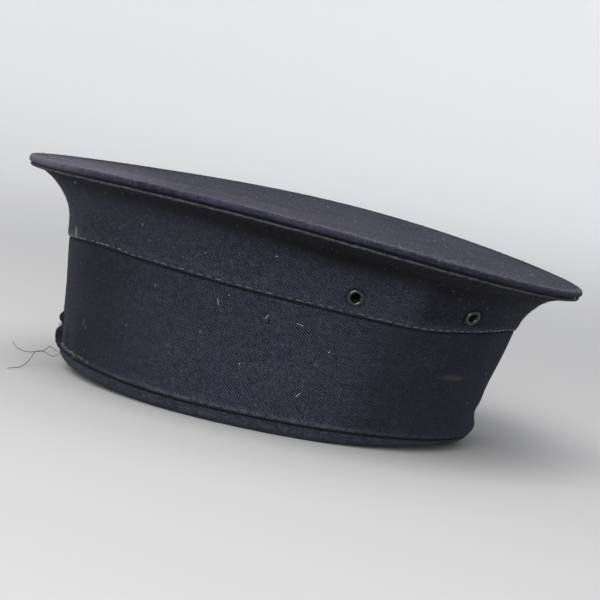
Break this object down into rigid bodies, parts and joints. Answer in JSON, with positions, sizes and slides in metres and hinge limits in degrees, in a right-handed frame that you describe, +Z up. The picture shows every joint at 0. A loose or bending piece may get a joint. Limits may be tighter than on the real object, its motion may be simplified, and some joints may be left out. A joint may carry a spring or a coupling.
{
  "type": "sailor cap",
  "caption": "Dark cloth sailor cap with a wide flat top, an outward-flaring side lapped over an upright band, metal vent eyelets and a bound lower edge.",
  "frame": {"origin": "on the surface that the cap stands on, below the middle of its bounding box", "axes": "+Z up through the flat top, -Y to the cap's front, +X to the wearer's left; the cap is a mirror image of itself about the YZ plane"},
  "size_m": [0.2572, 0.2722, 0.1004],
  "materials": {
    "top_cloth": "napped wool serge",
    "crown_cloth": "wool serge twill",
    "band_cloth": "wool serge twill",
    "binding_cloth": "wool serge twill",
    "welt_cloth": "wool serge, corded",
    "eyelet_metal": "black enamel, worn"
  },
  "bodies": {
    "root": {"base_binding": "binding_cloth", "band": "band_cloth", "crown_side": "crown_cloth", "crown_top": "top_cloth", "rim_welt": "welt_cloth", "eyelet_left_side": "eyelet_metal", "eyelet_left_rear": "eyelet_metal", "eyelet_right_side": "eyelet_metal", "eyelet_right_rear": "eyelet_metal"}
  },
  "joints": []
}
